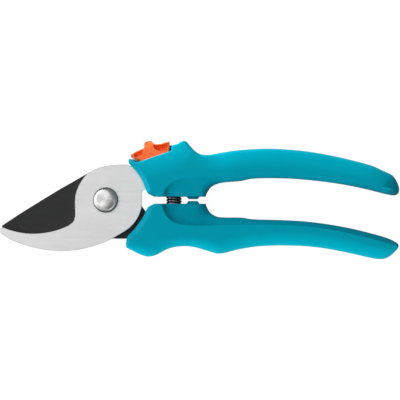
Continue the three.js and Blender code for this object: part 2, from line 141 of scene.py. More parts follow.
def nearest(points, path):
    """Distance from each point to an open path, the path's columns there, and the side of it.

    The side is above 0 to the left of the path and below 0 to its right.
    """
    a, b = path[:-1], path[1:]
    seg = (b - a)[:, :2]
    len2 = np.maximum((seg**2).sum(1), 1e-12)
    dist = np.empty(len(points))
    info = np.empty((len(points), path.shape[1]))
    side = np.empty(len(points))
    for i in range(0, len(points), 2000):
        q = points[i:i + 2000, None, :]
        t = np.clip(((q - a[None, :, :2]) * seg[None]).sum(2) / len2[None], 0, 1)
        foot = a[None, :, :2] + t[:, :, None] * seg[None]
        d2 = ((q - foot) ** 2).sum(2)
        k = d2.argmin(1)
        rows = np.arange(len(k))
        dist[i:i + 2000] = np.sqrt(d2[rows, k])
        tk = t[rows, k][:, None]
        info[i:i + 2000] = a[k] * (1 - tk) + b[k] * tk
        rel = q[:, 0] - a[k, :2]
        side[i:i + 2000] = seg[k, 0] * rel[:, 1] - seg[k, 1] * rel[:, 0]
    return dist, info, side


def inside(points, loops):
    """Even-odd test of points against closed loops."""
    result = np.zeros(len(points), bool)
    x, y = points[:, 0], points[:, 1]
    for ring in loops:
        nxt = np.roll(ring, -1, axis=0)
        for (x0, y0), (x1, y1) in zip(ring, nxt):
            cross = (y0 > y) != (y1 > y)
            if y1 != y0:
                result ^= cross & (x < (x1 - x0) * (y - y0) / (y1 - y0) + x0)
    return result


def triangulate(loops, extra=(), creases=()):
    """Triangles that fill closed loops, through extra points and along open crease lines."""
    coords, edges = [], []
    for ring in loops:
        first = len(coords)
        coords += [Vector(p) for p in ring]
        edges += [(first + i, first + (i + 1) % len(ring)) for i in range(len(ring))]
    for line in creases:
        first = len(coords)
        coords += [Vector(p) for p in line]
        edges += [(first + i, first + i + 1) for i in range(len(line) - 1)]
    coords += [Vector(p) for p in extra]
    verts, _, faces, *_ = delaunay_2d_cdt(coords, edges, [], 0, 1e-5)
    verts = np.array([(v.x, v.y) for v in verts])
    faces = np.array([f for f in faces if len(f) == 3])
    centres = verts[faces].mean(1)
    faces = faces[inside(centres, loops)]
    used = np.unique(faces)
    index = np.full(len(verts), -1)
    index[used] = np.arange(len(used))
    return verts[used], index[faces]


# ---------------------------------------------------------------- meshes
# How relief() spaces the points of a top.
RING_CLEAR = 0.93         # a ring's points lie at least this share of its distance from the outline
EDGE_CLEAR = 0.6          # and every point this share of the first ring's distance
GRID_CLEAR = 0.45         # from the last ring to the grid, as a share of the grid's spacing
ROW_STEP = 0.87           # between the grid's rows, as a share of its spacing
CREASE_CLEAR = 0.22       # from a crease to other points


def new_object(name, verts, faces, material, angle=32):
    """A mesh object from millimetre coordinates in the pivot frame."""
    mesh = bpy.data.meshes.new(name)
    coords = [PIVOT + Vector(v) * MM for v in verts]
    mesh.from_pydata(coords, [], [tuple(int(i) for i in f) for f in faces])
    mesh.materials.append(material)
    obj = bpy.data.objects.new(name, mesh)
    bpy.context.scene.collection.objects.link(obj)
    tidy(obj, angle)
    return obj


def tidy(obj, angle):
    """Merges doubled vertices, turns the faces outwards and marks edges past `angle` degrees as sharp."""
    bm = bmesh.new()
    bm.from_mesh(obj.data)
    bmesh.ops.remove_doubles(bm, verts=bm.verts, dist=2e-6)
    bmesh.ops.dissolve_degenerate(bm, dist=1e-6, edges=bm.edges)
    bmesh.ops.recalc_face_normals(bm, faces=bm.faces)
    for edge in bm.edges:
        edge.smooth = len(edge.link_faces) == 2 and edge.calc_face_angle(0) < math.radians(angle)
    for face in bm.faces:
        face.smooth = True
    bm.to_mesh(obj.data)
    bm.free()
    obj.data.update()


def boundary_loops(faces):
    """The closed loops of edges that only one triangle uses, in face order."""
    # A dict keeps its order, and a set doesn't.
    seen = dict.fromkeys((f[i], f[(i + 1) % 3]) for f in faces for i in range(3))
    nxt = {a: b for (a, b) in seen if (b, a) not in seen}
    rings = []
    while nxt:
        start, here = next(iter(nxt.items()))
        ring = [start]
        del nxt[start]
        while here != start:
            ring.append(here)
            here = nxt.pop(here)
        rings.append(ring)
    return rings


def relief(outline, height, base, spacing, rings, creases=(), seam=0.0, cell=0.2):
    """Vertices and faces of a solid whose top follows height(points) over an outline, down to `base`.

    The top has points on rings at given distances from the outline, on a grid inside them and along the
    creases, with at most one ring or grid point in a cell. seam is the small bevel at the base.
    """
    closed = np.vstack([outline, outline[:1]])
    extra = []
    for d in rings:
        ring = inset(outline, d)
        extra.append(ring[nearest(ring, closed)[0] > RING_CLEAR * d])
    low, high = outline.min(0), outline.max(0)
    grid = np.array([
        (x + (0.5 * spacing if row % 2 else 0), y)
        for row, y in enumerate(np.arange(low[1], high[1], spacing * ROW_STEP))
        for x in np.arange(low[0], high[0], spacing)
    ])
    grid = grid[inside(grid, [outline])]
    extra.append(grid[nearest(grid, closed)[0] > max(rings) + GRID_CLEAR * spacing])
    extra = np.vstack(extra)
    extra = extra[inside(extra, [outline])]
    extra = extra[nearest(extra, closed)[0] > EDGE_CLEAR * min(rings)]
    for line in creases:
        extra = extra[nearest(extra, line)[0] > CREASE_CLEAR]
    cells = {}
    for i, (x, y) in enumerate(extra):
        cells.setdefault((int(x / cell), int(y / cell)), i)
    extra = extra[list(cells.values())]
    flat, faces = triangulate([outline], extra, creases)
    a, b, c = flat[faces[:, 0]], flat[faces[:, 1]], flat[faces[:, 2]]
    turn = (b[:, 0] - a[:, 0]) * (c[:, 1] - a[:, 1]) - (b[:, 1] - a[:, 1]) * (c[:, 0] - a[:, 0])
    faces[turn < 0] = faces[turn < 0][:, ::-1]
    top = np.column_stack([flat, height(flat)])
    verts = [tuple(v) for v in top]
    out = [tuple(f) for f in faces]
    bottom_loops = []
    for ring in boundary_loops(faces):
        ring_xy = flat[ring]
        rows = [ring]
        levels = [(base + seam, 0.0), (base, seam)] if seam else [(base, 0.0)]
        for z, d in levels:
            moved = inset(ring_xy, d) if d else ring_xy
            rows.append(list(range(len(verts), len(verts) + len(ring))))
            verts += [(x, y, z) for x, y in moved]
        for upper, lower in zip(rows[:-1], rows[1:]):
            n = len(ring)
            for i in range(n):
                j = (i + 1) % n
                out.append((upper[i], lower[i], lower[j], upper[j]))
        bottom_loops.append(rows[-1])
    flat_bottom = [np.array([verts[i][:2] for i in ring]) for ring in bottom_loops]
    cap, cap_faces = triangulate(flat_bottom)
    first = len(verts)
    verts += [(x, y, base) for x, y in cap]
    out += [tuple(first + i for i in f[::-1]) for f in cap_faces]
    return verts, out


def plate(loops, low, high, bevel_high=0.0, bevel_low=0.0):
    """Vertices and faces of a flat plate. The first loop is its outside and the rest are holes."""
    verts, faces = [], []
    ends = {"low": [], "high": []}
    for n, ring in enumerate(loops):
        ring = np.asarray(ring, float)
        area = 0.5 * np.sum(ring[:, 0] * np.roll(ring[:, 1], -1) - np.roll(ring[:, 0], -1) * ring[:, 1])
        if (area < 0) != (n > 0):
            ring = ring[::-1]
        levels = [(low, bevel_low), (low + bevel_low, 0), (high - bevel_high, 0), (high, bevel_high)]
        rows = []
        for z, d in levels:
            moved = inset(ring, d) if d else ring
            rows.append(list(range(len(verts), len(verts) + len(ring))))
            verts += [(x, y, z) for x, y in moved]
        for lower, upper in zip(rows[:-1], rows[1:]):
            for i in range(len(ring)):
                j = (i + 1) % len(ring)
                faces.append((lower[i], lower[j], upper[j], upper[i]))
        ends["low"].append(rows[0])
        ends["high"].append(rows[-1])
    for key, z in (("low", low), ("high", high)):
        flat, tri = triangulate([np.array([verts[i][:2] for i in ring]) for ring in ends[key]])
        first = len(verts)
        verts += [(x, y, z) for x, y in flat]
        faces += [tuple(first + i for i in f) for f in tri]
    return verts, faces


def lathe(profile, sides=72, wobble=None):
    """Vertices and faces of a body turned round Z from (radius, height) points.

    The profile runs from axis to axis or is a closed loop, and wobble scales the radius of each point.
    """
    verts, faces = [], []
    closed = profile[0][0] > 0
    for i in range(sides):
        a = 2 * math.pi * i / sides
        for r, z in profile:
            rr = r * (wobble(a, r, z) if wobble else 1.0)
            verts.append((rr * math.cos(a), rr * math.sin(a), z))
    n = len(profile)
    for i in range(sides):
        j = (i + 1) % sides
        for k in range(n if closed else n - 1):
            m = (k + 1) % n
            faces.append((i * n + k, j * n + k, j * n + m, i * n + m))
    return verts, faces


def boolean(obj, cutters, operation="DIFFERENCE"):
    """Cuts or joins solids, given as (verts, faces), into an object for good."""
    for verts, faces in cutters:
        tool = new_object("tool", verts, faces, obj.data.materials[0])
        modifier = obj.modifiers.new("cut", "BOOLEAN")
        modifier.operation = operation
        modifier.solver = "EXACT"
        modifier.object = tool
        graph = bpy.context.evaluated_depsgraph_get()
        result = bpy.data.meshes.new_from_object(obj.evaluated_get(graph))
        obj.modifiers.clear()
        old = obj.data
        obj.data = result
        bpy.data.meshes.remove(old)
        bpy.data.objects.remove(tool, do_unlink=True)
    tidy(obj, 30)


# ---------------------------------------------------------------- materials
class Nodes:
    """Short names for building one material's node tree."""

    def __init__(self, name):
        self.material = bpy.data.materials.new(name)
        self.material.use_nodes = True
        self.tree = self.material.node_tree
        self.shader = self.tree.nodes["Principled BSDF"]

    def add(self, kind, **inputs):
        node = self.tree.nodes.new(kind)
        for key, value in inputs.items():
            if key in node.inputs:
                node.inputs[key].default_value = value
            else:
                setattr(node, key, value)
        return node

    def link(self, source, target):
        self.tree.links.new(source, target)

    def set(self, **values):
        for key, value in values.items():
            self.shader.inputs[key.replace("_", " ")].default_value = value

    def coords(self, scale=(1, 1, 1)):
        """Object coordinates in millimetres, times a scale along each axis."""
        where = self.add("ShaderNodeTexCoord")
        mapping = self.add("ShaderNodeMapping")
        mapping.inputs["Scale"].default_value = [1000 * s for s in scale]
        self.link(where.outputs["Object"], mapping.inputs["Vector"])
        return mapping.outputs["Vector"]

    def noise(self, scale, detail=3.0, roughness=0.5, stretch=(1, 1, 1)):
        node = self.add("ShaderNodeTexNoise", Scale=scale, Detail=detail, Roughness=roughness)
        self.link(self.coords(stretch), node.inputs["Vector"])
        return node.outputs["Fac"]

    def ramp(self, source, low, high, positions=(0.3, 0.7)):
        """A value turned into a colour between two ends."""
        node = self.add("ShaderNodeValToRGB")
        elements = node.color_ramp.elements
        elements[0].position, elements[1].position = positions
        elements[0].color = (*low, 1)
        elements[1].color = (*high, 1)
        self.link(source, node.inputs["Fac"])
        return node.outputs["Color"]

    def bump(self, source, strength, distance, normal=None):
        node = self.add("ShaderNodeBump", Strength=strength, Distance=distance)
        self.link(source, node.inputs["Height"])
        if normal is not None:
            self.link(normal, node.inputs["Normal"])
        return node.outputs["Normal"]


def srgb(r, g, b):
    """Linear colour from 0-255 display values."""
    def channel(v):
        v /= 255
        return v / 12.92 if v <= 0.04045 else ((v + 0.055) / 1.055) ** 2.4
    return tuple(channel(v) for v in (r, g, b))


def grey(v):
    return (v, v, v)


def moulded(name, low, high, roughness, grain_size, grain_depth, tint, ior, subsurface=0.0):
    """Moulded plastic: fine spark-eroded grain, faint flow marks and a slightly uneven sheen.

    The colour drifts between low and high, and tint is the colour of the surface's plain reflection.
    """
    n = Nodes(name)
    drift = n.noise(0.035, 3.0, 0.55)
    n.link(n.ramp(drift, low, high), n.shader.inputs["Base Color"])
    sheen = n.noise(0.22, 4.0, 0.6)
    n.link(n.ramp(sheen, grey(roughness - 0.05), grey(roughness + 0.06)), n.shader.inputs["Roughness"])
    fine = n.noise(grain_size, 2.0, 0.5)
    flow = n.noise(0.12, 3.0, 0.5, (0.35, 1, 1))
    normal = n.bump(flow, 0.12, 0.00012)
    n.link(n.bump(fine, 0.35, grain_depth, normal), n.shader.inputs["Normal"])
    n.set(Specular_Tint=(*tint, 1), IOR=ior, Subsurface_Weight=subsurface)
    return n.material


def steel(name, low, high, roughness, stretch, depth):
    """Ground steel: long fine scratches along one direction with a soft mottling."""
    n = Nodes(name)
    lines = n.noise(1.0, 4.0, 0.7, stretch)
    soft = n.noise(0.05, 3.0, 0.5)
    n.link(n.ramp(soft, low, high), n.shader.inputs["Base Color"])
    n.link(n.ramp(lines, grey(roughness - 0.06), grey(roughness + 0.08)), n.shader.inputs["Roughness"])
    n.link(n.bump(lines, 0.25, depth), n.shader.inputs["Normal"])
    n.set(Metallic=1.0)
    return n.material


def coated(name):
    """Matt black non-stick coating: a fine pebbled film with faint rubbed streaks."""
    n = Nodes(name)
    streak = n.noise(0.5, 4.0, 0.6, (0.12, 0.9, 1))
    n.link(n.ramp(streak, srgb(33, 34, 35), srgb(41, 41, 42)), n.shader.inputs["Base Color"])
    n.link(n.ramp(n.noise(0.8, 3.0), grey(0.5), grey(0.62)), n.shader.inputs["Roughness"])
    n.link(n.bump(n.noise(5.0, 3.0, 0.6), 0.3, 0.00003), n.shader.inputs["Normal"])
    n.set(Specular_IOR_Level=0.35)
    return n.material


def turned(name, low, high, roughness, rim):
    """Turned and polished steel: fine rings round the pivot's axis, and painted shade that darkens the
    colour towards the rim's radius.
    """
    n = Nodes(name)
    where = n.add("ShaderNodeTexCoord")
    shift = n.add("ShaderNodeMapping")
    shift.inputs["Location"].default_value = [-1000 * c for c in PIVOT]
    shift.inputs["Scale"].default_value = (1000, 1000, 1000)
    n.link(where.outputs["Object"], shift.inputs["Vector"])
    rings = n.add(
        "ShaderNodeTexWave", wave_type="RINGS", rings_direction="Z", Scale=1.6, Distortion=0.6, Detail=2.0,
    )
    n.link(shift.outputs["Vector"], rings.inputs["Vector"])
    across = n.add("ShaderNodeVectorMath", operation="MULTIPLY")
    across.inputs[1].default_value = (1 / rim, 1 / rim, 0)
    n.link(shift.outputs["Vector"], across.inputs[0])
    radius = n.add("ShaderNodeVectorMath", operation="LENGTH")
    n.link(across.outputs["Vector"], radius.inputs[0])
    # Painted shade: the base colour is multiplied down to a dark ring near the rim's radius.
    rim_shade = n.add("ShaderNodeMix", data_type="RGBA", blend_type="MULTIPLY")
    rim_shade.inputs["Factor"].default_value = 1.0
    n.link(n.ramp(n.noise(0.25, 3.0), low, high), rim_shade.inputs["A"])
    n.link(n.ramp(radius.outputs["Value"], grey(1.0), grey(0.22), (0.86, 0.985)), rim_shade.inputs["B"])
    n.link(rim_shade.outputs["Result"], n.shader.inputs["Base Color"])
    n.link(n.ramp(rings.outputs["Fac"], grey(roughness - 0.03), grey(roughness + 0.04)),
           n.shader.inputs["Roughness"])
    n.link(n.bump(rings.outputs["Fac"], 0.05, 0.00002), n.shader.inputs["Normal"])
    around = n.add("ShaderNodeTangent", direction_type="RADIAL", axis="Z")
    n.link(around.outputs["Tangent"], n.shader.inputs["Tangent"])
    n.set(Metallic=1.0, Anisotropic=0.9)
    return n.material


HEAD_RADIUS = 6.3         # the bolt's head

TEAL = moulded(
    "teal_plastic", srgb(0, 155, 181), srgb(0, 162, 188), roughness=0.34, grain_size=2.6,
    grain_depth=0.00004, tint=(0.1, 0.9, 0.8), ior=1.28,
)
ORANGE = moulded(
    "orange_plastic", srgb(255, 106, 48), srgb(255, 118, 58), roughness=0.3, grain_size=3.0,
    grain_depth=0.00002, tint=(1, 0.8, 0.6), ior=1.45, subsurface=0.05,
)
BLADE_STEEL = steel("satin_steel", grey(0.73), grey(0.78), 0.42, (0.03, 1.6, 1.6), 0.00002)
BLACK = coated("black_coating")
POLISHED = turned("polished_steel", grey(0.72), grey(0.78), 0.36, HEAD_RADIUS)
PLATED = steel("plated_steel", grey(0.42), grey(0.52), 0.32, (1, 1, 1), 0.00002)
WIRE_STEEL = steel("spring_wire", srgb(128, 124, 128), srgb(150, 146, 150), 0.22, (1.2, 1.2, 1.2), 0.00002)


# ---------------------------------------------------------------- handles
# Each run of the outline is (profile, width, drop, points): a flat bevel or a rounding along that edge.
# A point can carry a width and a drop of its own. The runs go round anticlockwise.
FLAT, ROUND = 1, 2
UPPER_FRONT = (FLAT, 2.2, 2.5, [
    (11.8, 20.6, 1.5, 1.5), (11.45, 19.7, 1.8, 1.9), (11.8, 18.2, 2.1, 2.4), (13.1, 16.8), (15.6, 13.9),
    (17.8, 10.7), (19.4, 7.2), (20.3, 4.6),
])
UPPER_UNDER = [
    (FLAT, 2.0, 2.2, [(20.3, 4.6), (21.3, 3.2), (24.4, 1.6)]),
    (ROUND, 0.8, 0.8, [(24.4, 1.6), (50.0, 1.6)]),
    (ROUND, 3.8, 3.6, [
        (50.0, 1.6, 2.4, 2.4), (50.8, 3.6), (52.9, 6.5), (56.4, 8.2, 3.0, 2.8), (60.3, 8.9, 1.1, 1.6),
    ]),
    (ROUND, 1.1, 1.6, [
        (60.3, 8.9), (64.3, 9.2), (67.8, 9.5), (69.6, 9.9), (72.1, 10.45), (76.1, 10.8), (84.1, 10.9),
        (92.1, 10.7), (100.1, 10.1), (108.0, 9.3), (115.9, 8.2), (123.8, 6.8), (131.6, 5.1), (139.4, 3.1),
        (143.2, 2.3),
    ]),
    (ROUND, 1.3, 1.8, [
        (143.2, 2.3), (145.2, 2.4), (146.5, 3.5), (146.85, 5.2), (146.2, 7.9), (144.7, 10.9),
        (143.1, 12.6), (141.4, 13.5),
    ]),
    (ROUND, 1.4, 2.0, [
        (141.4, 13.5, 1.3, 1.8), (137.8, 15.1), (134.3, 16.75), (130.4, 18.0), (122.7, 20.0),
        (111.0, 22.6), (99.2, 24.5), (87.2, 25.5), (79.2, 25.7), (71.2, 25.3), (63.3, 24.55),
        (55.4, 23.2), (51.5, 22.6), (47.5, 22.9), (44.4, 24.8, 1.4, 1.8), (42.0, 27.4, 1.4, 1.8),
        (40.7, 29.0, 1.4, 1.8),
    ]),
    (ROUND, 1.1, 1.1, [
        (40.7, 29.0), (39.7, 29.58), (38.4, 29.5), (37.3, 28.95), (36.1, 28.1), (34.6, 27.7), (33.3, 27.4),
    ]),
]
# The rail under the slider and the wall that ends its channel stand a little prouder on the rear shell.
UPPER_RAIL = {
    "front": [
        (ROUND, 0.8, 0.8, [(33.3, 27.4), (32.9, 26.2), (32.9, 24.7)]),
        (ROUND, 0.8, 0.8, [(32.9, 24.7), (16.6, 19.1)]),
        (ROUND, 0.8, 0.8, [(16.6, 19.1), (15.7, 18.8), (14.7, 19.1), (12.4, 20.4), (11.8, 20.6)]),
    ],
    "rear": [
        (ROUND, 0.8, 0.8, [(33.3, 27.4), (31.6, 27.1), (31.2, 26.0), (31.2, 25.2)]),
        (ROUND, 0.8, 0.8, [(31.2, 25.2), (16.6, 20.1)]),
        (ROUND, 0.8, 0.8, [(16.6, 20.1), (15.7, 19.9), (14.7, 20.2), (12.4, 20.6), (11.8, 20.6)]),
    ],
}
LOWER_RUNS = [
    (ROUND, 1.4, 1.8, [
        (10.3, -23.7), (14.0, -25.6), (17.5, -27.3), (21.4, -28.3), (25.2, -27.5), (28.8, -25.6),
        (32.4, -24.05), (36.3, -23.3), (40.3, -23.1), (44.3, -23.6), (48.2, -24.6), (52.0, -25.8),
        (56.1, -26.8), (59.7, -26.45), (63.6, -25.4), (67.5, -24.5), (75.4, -23.3), (83.4, -22.8),
        (91.4, -22.8), (99.4, -23.1), (107.3, -23.9), (115.2, -25.2), (123.0, -26.8), (130.8, -28.6),
        (134.7, -29.35),
    ]),
    (ROUND, 2.4, 3.2, [
        (134.7, -29.35, 1.4, 1.8), (138.0, -29.58, 1.8, 2.4), (140.5, -29.0), (142.6, -27.7, 2.8, 3.6),
        (145.1, -25.3), (146.35, -23.7, 1.8, 2.4), (146.3, -22.3, 1.2, 1.6), (145.5, -21.3, 1.0, 1.2),
    ]),
    (ROUND, 0.8, 1.0, [
        (145.5, -21.3), (142.5, -19.7), (138.7, -18.3), (131.0, -16.2), (123.2, -14.3), (115.4, -12.8),
        (107.5, -11.6), (99.6, -10.7), (91.6, -10.2), (83.6, -9.9), (76.0, -9.75), (71.6, -9.4),
        (69.6, -9.0), (67.6, -8.8), (60.0, -8.75),
    ]),
    (ROUND, 5.6, 3.0, [
        (60.0, -8.75, 0.8, 1.0), (55.8, -8.35, 3.0, 2.4), (52.4, -6.4, 4.8, 2.9), (50.8, -3.9),
        (50.0, -1.85, 4.0, 2.8),
    ]),
    (ROUND, 0.8, 0.8, [(50.0, -1.85), (24.4, -1.85)]),
    (FLAT, 2.4, 2.7, [(24.4, -1.85, 1.4, 1.6), (21.3, -3.5, 2.2, 2.5), (20.4, -4.9)]),
    (FLAT, 2.4, 2.7, [
        (20.4, -4.9), (19.1, -7.9), (17.2, -10.8), (14.3, -14.8), (11.4, -17.7, 2.3, 2.6),
        (10.5, -19.6, 1.9, 2.1), (10.2, -22.0, 1.4, 1.5), (10.3, -23.7, 1.2, 1.2),
    ]),
]
# Where a handle's face crowns towards its outer edge: (x, y, width, depth).
UPPER_CROWN = [
    (11.5, 20.8, 6.0, 0.6), (15.7, 19.5, 9.0, 1.2), (24.0, 22.4, 11.0, 1.7), (30.5, 25.8, 12.0, 2.1),
    (35.0, 28.9, 12.0, 2.5), (39.5, 30.0, 12.0, 2.7), (44.5, 28.6, 11.0, 2.5), (49.5, 25.0, 9.5, 2.3),
    (55.4, 23.2, 8.5, 2.3), (63.3, 24.55, 9.0, 2.5), (71.2, 25.3, 9.5, 2.7), (79.2, 25.7, 10.0, 2.8),
    (87.2, 25.5, 10.0, 2.8), (99.2, 24.5, 9.5, 2.7), (111.0, 22.6, 9.0, 2.6), (122.7, 20.0, 8.5, 2.5),
    (134.3, 16.75, 8.0, 2.8), (141.4, 13.5, 9.0, 4.0), (144.7, 10.9, 10.0, 4.6), (146.85, 6.2, 10.0, 5.0),
    (146.6, 3.6, 9.0, 4.6), (145.2, 1.6, 6.0, 3.4),
]
LOWER_CROWN = [
    (10.3, -23.7, 4.0, 0.9), (17.5, -27.3, 5.0, 1.8), (21.4, -28.3, 5.0, 2.0), (25.2, -27.5, 5.0, 2.0),
    (32.4, -24.05, 4.6, 2.1), (40.3, -23.1, 4.6, 2.3), (48.2, -24.6, 5.0, 2.5), (56.1, -26.8, 5.6, 2.7),
    (63.6, -25.4, 6.2, 2.7), (75.4, -23.3, 6.8, 2.7), (91.4, -22.8, 7.0, 2.7), (107.3, -23.9, 7.0, 2.8),
    (123.0, -26.8, 7.0, 3.0), (137.0, -30.0, 7.0, 3.2), (149.0, -33.0, 7.0, 3.2),
]
# Creases (x, y, width, depth) where a face turns down towards the other handle: the side, left or right of
# the line, that falls away, and whether the slope flattens out into a recess's floor.
LEFT, RIGHT = 1, -1
FLOOR_FALL = 0.4          # past FALL_FROM in x, a recess's floor gets this share deeper for each FALL_OVER,
FALL_FROM, FALL_OVER, FALL_MOST = 31, 10, 2       # up to FALL_MOST times
SLOPE_FROM, SLOPE_OVER = 50, 8                    # where in x, and over how far, it turns into a slope
UPPER_CREASES = [
    (RIGHT, True, [
        (28.7, 1.0, 2.6, 2.0), (28.8, 2.6, 2.6, 1.8), (29.5, 4.9, 2.8, 1.5), (30.9, 6.9, 3.3, 1.25),
        (33.1, 8.7, 4.2, 1.1), (36.0, 9.9, 5.4, 1.05), (40.0, 10.6, 6.6, 1.0), (46.0, 10.9, 8.0, 0.95),
        (52.0, 11.2, 9.0, 0.8), (60.0, 11.6, 8.0, 0.5), (70.0, 12.0, 7.0, 0.2), (80.0, 12.0, 6.0, 0.0),
    ]),
    (RIGHT, False, [
        (104.0, 8.8, 1.4, 0.0), (112.0, 8.9, 1.4, 0.5), (120.0, 8.6, 1.8, 1.4), (128.0, 7.6, 2.2, 2.0),
        (136.0, 6.1, 2.4, 2.4), (144.0, 4.4, 2.4, 2.6), (148.0, 3.5, 2.4, 2.6),
    ]),
]
LOWER_CREASES = [
    (LEFT, True, [
        (28.2, -1.2, 2.4, 2.8), (28.5, -3.5, 2.4, 2.8), (29.4, -6.2, 2.4, 2.8), (31.0, -8.6, 2.5, 2.8),
        (33.2, -10.6, 2.7, 2.7), (36.4, -12.0, 3.0, 2.6), (40.0, -12.6, 3.2, 2.5), (46.0, -12.8, 3.4, 2.5),
        (52.0, -12.7, 3.8, 2.8), (60.0, -12.4, 4.2, 3.4), (70.0, -12.3, 4.2, 3.7), (80.0, -12.35, 4.0, 3.8),
        (90.0, -12.6, 3.9, 3.9), (100.0, -13.25, 3.9, 4.0), (108.0, -14.2, 3.9, 4.2),
        (116.0, -15.5, 3.9, 4.6), (124.0, -17.2, 3.9, 5.0), (132.0, -19.1, 3.8, 5.4),
        (139.0, -21.0, 3.8, 5.6), (144.5, -22.7, 3.6, 5.4), (147.5, -23.7, 3.6, 5.2),
    ]),
]
RINGS = (0.1, 0.25, 0.45, 0.7, 1.0, 1.4, 1.9, 2.5, 3.2)
LEAST_HEIGHT = 1.0        # of a handle's face over the mid-plane
PARTING = 0.06            # half of the parting line's gap
PARTING_BEVEL = 0.22
LUG_LOW, LUG_HIGH = 0.1, 2.6
LUG_BEVEL = 0.4


def drop_at(dist, width, depth, profile):
    """How far a bevel or a rounding has dropped at a distance from its edge."""
    t = np.clip(1 - dist / width, 0, 1)
    if profile == FLAT:
        return depth * t
    return depth * (1 - np.sqrt(np.maximum(1 - t**2, 0)))


def edge_path(run):
    """The curve along one run of an outline, with its width and drop as extra columns."""
    _, width, drop, points = run
    return spline([p if len(p) == 4 else (*p, width, drop) for p in points])


def handle_height(runs, creases, crown):
    """The height of a handle's broad face over the plan."""
    paths = [(run[0], edge_path(run)) for run in runs]
    crease_paths = [(side, floored, spline(points)) for side, floored, points in creases]
    crown_path = spline(crown)

    def height(points):
        dist, info, _ = nearest(points, crown_path)
        lowered = info[:, 3] * np.clip(1 - dist / info[:, 2], 0, 1) ** 2
        for side, floored, path in crease_paths:
            dist, info, turn = nearest(points, path)
            t = np.where(turn * side > 0, dist, 0) / info[:, 2]
            if floored:
                slope = np.clip((points[:, 0] - SLOPE_FROM) / SLOPE_OVER, 0, 1)
                fall = FLOOR_FALL * np.clip((points[:, 0] - FALL_FROM) / FALL_OVER, 0, FALL_MOST)
                floor_t = np.clip(t, 0, 1)
                t = (1 - (1 - floor_t) ** 2 + fall * floor_t) * (1 - slope) + t * slope
            lowered = lowered + info[:, 3] * t
        drop = np.zeros(len(points))
        for profile, path in paths:
            dist, info, _ = nearest(points, path)
            drop = np.maximum(drop, drop_at(dist, info[:, 2], info[:, 3], profile))
        return np.maximum(HALF_THICK - lowered - drop, LEAST_HEIGHT)

    return height


def clipped(line, outline, margin):
    """The part of a line that runs inside an outline, clear of it."""
    gap, _, _ = nearest(line, np.vstack([outline, outline[:1]]))
    return line[inside(line, [outline]) & (gap > margin)]


def bevel_line(run):
    """The inner edge of a flat bevel."""
    path = edge_path(run)
    way = np.gradient(path[:, :2], axis=0)
    normal = np.column_stack([-way[:, 1], way[:, 0]]) / np.linalg.norm(way, axis=1)[:, None]
    return path[:, :2] + normal * path[:, 2:3]


def shell(name, runs, creases, crown, rear, cutters, lug):
    """One of a handle's two shells, with its stop lug. A rear shell is made face up, then mirrored."""
    outline = loop(*[edge_path(run)[:-1] for run in runs])
    lines = [clipped(spline(points)[:, :2], outline, 0.12) for _, _, points in creases]
    lines += [clipped(bevel_line(run), outline, 0.5) for run in runs if run[0] == FLAT]
    height = handle_height(runs, creases, crown)
    verts, faces = relief(outline, height, PARTING, 1.1, RINGS, lines, PARTING_BEVEL)
    flip = -1 if rear else 1
    obj = new_object(name, [(x, y, flip * z) for x, y, z in verts], faces, TEAL)
    verts, faces = plate([lug], LUG_LOW, LUG_HIGH, LUG_BEVEL)
    boolean(obj, [([(x, y, flip * z) for x, y, z in verts], faces)], "UNION")
    boolean(obj, cutters)
    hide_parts(name)
    return obj


TRACK_SLOPE = math.radians(18.8)
TRACK_START = (16.0, 19.6)
CHANNEL_HALF = 5.3        # the slider's channel, to each side of the mid-plane
GROOVE_HALF = 6.3         # the grooves for the slider's ribs in the channel's walls
CATCH_LOW, CATCH_HIGH = -2.9, -0.45
CATCH_ROOM = 0.3
SPRING_X = 34.2
PAST_MIDDLE = 1           # how far a cutter runs through the mid-plane
OUTSIDE = 12              # a height clear of the handles

UPPER_SCREWS = [(56, 15.4), (88, 18.2), (124, 13.15)]
LOWER_SCREWS = [(56, -17.2), (88, -16.35), (124, -20.8)]
SCREW_SEAT = -6.1         # the underside of a screw's head
SCREW_HOLE = 1.8          # radii
PILOT_HOLE = 1.6
COUNTERBORE = 3.2

UPPER_TANG_LOW = [(18.2, 4.6), (20, 5.5), (29, 9.8), (61, 12.2)]
UPPER_TANG_HIGH = [(61, 18.8), (24, 17), (14.5, 16.4), (11.2, 17.6)]
LOWER_TANG_LOW = [(10.4, -19.4), (26, -19.6), (61, -20.8)]
LOWER_TANG_HIGH = [(61, -14.2), (29, -11.6), (23, -8.4), (19.6, -5.2)]


def on_track(u, v):
    """The place that is u along the lock's track and v above it."""
    return (
        TRACK_START[0] + u * math.cos(TRACK_SLOPE) - v * math.sin(TRACK_SLOPE),
        TRACK_START[1] + u * math.sin(TRACK_SLOPE) + v * math.cos(TRACK_SLOPE),
    )


def track_box(u0, u1, v0, v1):
    return [on_track(u0, v0), on_track(u1, v0), on_track(u1, v1), on_track(u0, v1)]


def spring_well(low, high):
    """The ring-shaped well round the spring's end, about the spring's own axis along Y."""
    verts, faces = lathe([(2.1, low), (4.6, low), (4.6, high), (2.1, high)], 48)
    return [(SPRING_X + x, z, y) for x, y, z in verts], faces


def shifted(solid, x, y):
    verts, faces = solid
    return [(x + vx, y + vy, vz) for vx, vy, vz in verts], faces


def drilled(radius, low, high, x, y):
    """The cutter for a round hole."""
    return shifted(lathe([(0, low), (radius, low), (radius, high), (0, high)], 40), x, y)


def screw_holes(places, rear):
    """Cutters for a shell's screw holes: counterbored through the rear shell, blind in the front one."""
    if not rear:
        return [drilled(PILOT_HOLE, -PAST_MIDDLE, 5.8, x, y) for x, y in places]
    seat = SCREW_SEAT + 0.1
    profile = [
        (0, -OUTSIDE), (COUNTERBORE, -OUTSIDE), (COUNTERBORE, seat), (SCREW_HOLE, seat),
        (SCREW_HOLE, PAST_MIDDLE), (0, PAST_MIDDLE),
    ]
    return [shifted(lathe(profile, 44), x, y) for x, y in places]


